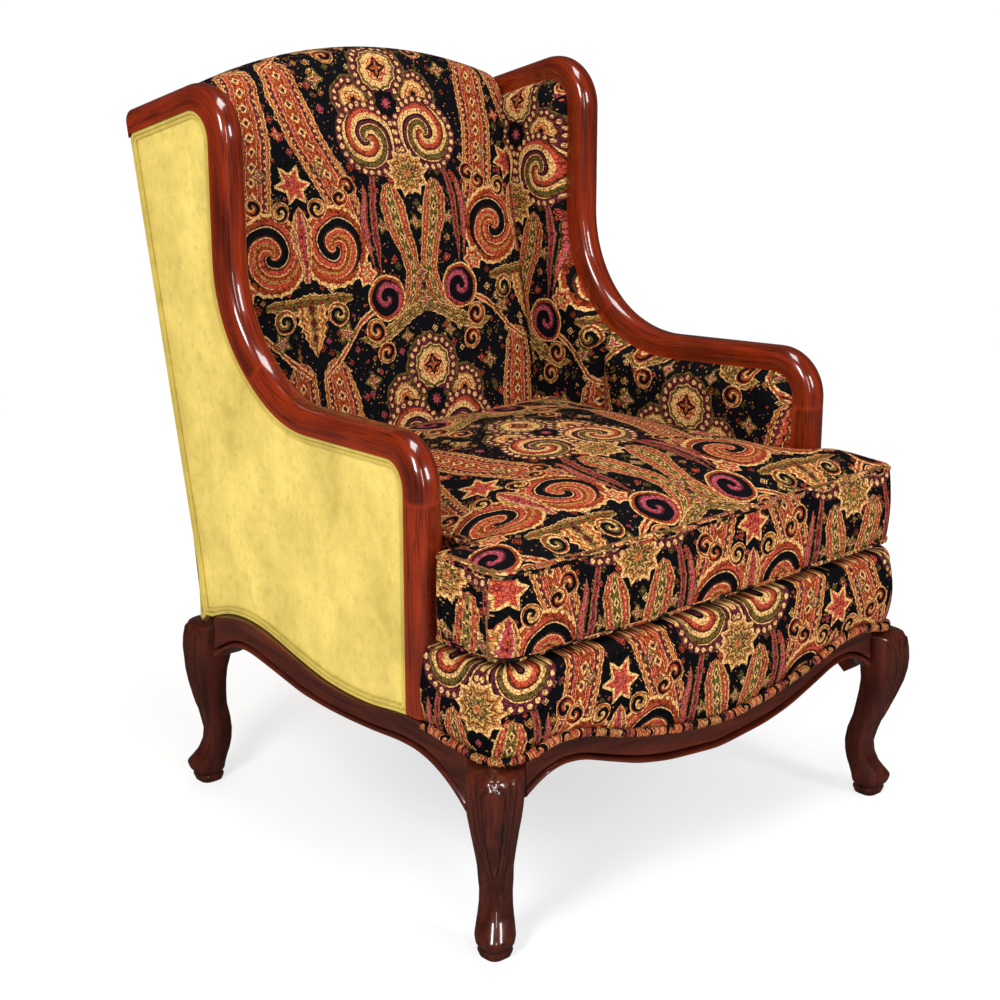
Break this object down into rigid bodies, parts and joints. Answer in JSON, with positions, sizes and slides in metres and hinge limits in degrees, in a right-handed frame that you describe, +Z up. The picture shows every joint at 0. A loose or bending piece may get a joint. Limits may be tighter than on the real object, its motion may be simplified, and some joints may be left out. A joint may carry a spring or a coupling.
{
  "type": "wingback armchair",
  "caption": "Upholstered wing armchair on carved cabriole legs, with a show-wood moulding round the wings and arms and a loose T-shaped seat cushion that lifts out.",
  "frame": {"origin": "on the floor, under the middle of the chair's bounding box", "axes": "+Z up, the chair faces -Y, +X to the left of a person sitting in it"},
  "size_m": [0.7896, 0.8409, 1.0273],
  "materials": {
    "mahogany": "polished deep red-brown mahogany, darker in the carving",
    "frame_wood": "plain sawn beech of the hidden frame",
    "velvet": "old-gold velvet with a mottled pile",
    "velvet_welt": "double welt of the same velvet",
    "paisley": "woven paisley in rust, coral, gold, cream and olive on navy black",
    "deck_cloth": "plain cloth over the sprung deck",
    "webbing": "jute webbing",
    "foam": "foam core wrapped in fibre",
    "dust_cloth": "thin black dust cover"
  },
  "bodies": {
    "chair_frame": {"leg_front_left": "mahogany", "leg_front_right": "mahogany", "leg_rear_left": "mahogany", "leg_rear_right": "mahogany", "front_rail": "mahogany", "side_rail_left": "mahogany", "side_rail_right": "mahogany", "wing_rail_left": "mahogany", "wing_rail_right": "mahogany", "arm_rail_left": "mahogany", "arm_rail_right": "mahogany", "arm_stump_left": "mahogany", "arm_stump_right": "mahogany", "rear_rail": "frame_wood", "corner_blocks": "frame_wood", "crest_rail": "frame_wood", "back_lower_rail": "frame_wood", "back_post_left": "frame_wood", "back_post_right": "frame_wood", "side_post_left": "frame_wood", "side_post_right": "frame_wood", "tack_rail_left": "frame_wood", "tack_rail_right": "frame_wood", "outside_panel_left": "velvet", "outside_panel_right": "velvet", "outside_back_panel": "velvet", "side_welt_left": "velvet_welt", "side_welt_right": "velvet_welt", "back_welt": "velvet_welt", "inside_arm_pad_left": "paisley", "inside_arm_pad_right": "paisley", "inside_wing_pad_left": "paisley", "inside_wing_pad_right": "paisley", "inside_back_pad": "paisley", "front_border": "paisley", "seat_deck": "deck_cloth", "webbing_long": "webbing", "webbing_cross": "webbing", "dust_cover": "dust_cloth"},
    "seat_cushion": {"cushion_core": "foam", "cushion_cover": "paisley"}
  },
  "joints": [
    {"name": "seat_cushion_lift", "type": "slide", "parent": "chair_frame", "child": "seat_cushion", "axis": [0, 0, 1], "range_m": [0, 0.72]}
  ]
}
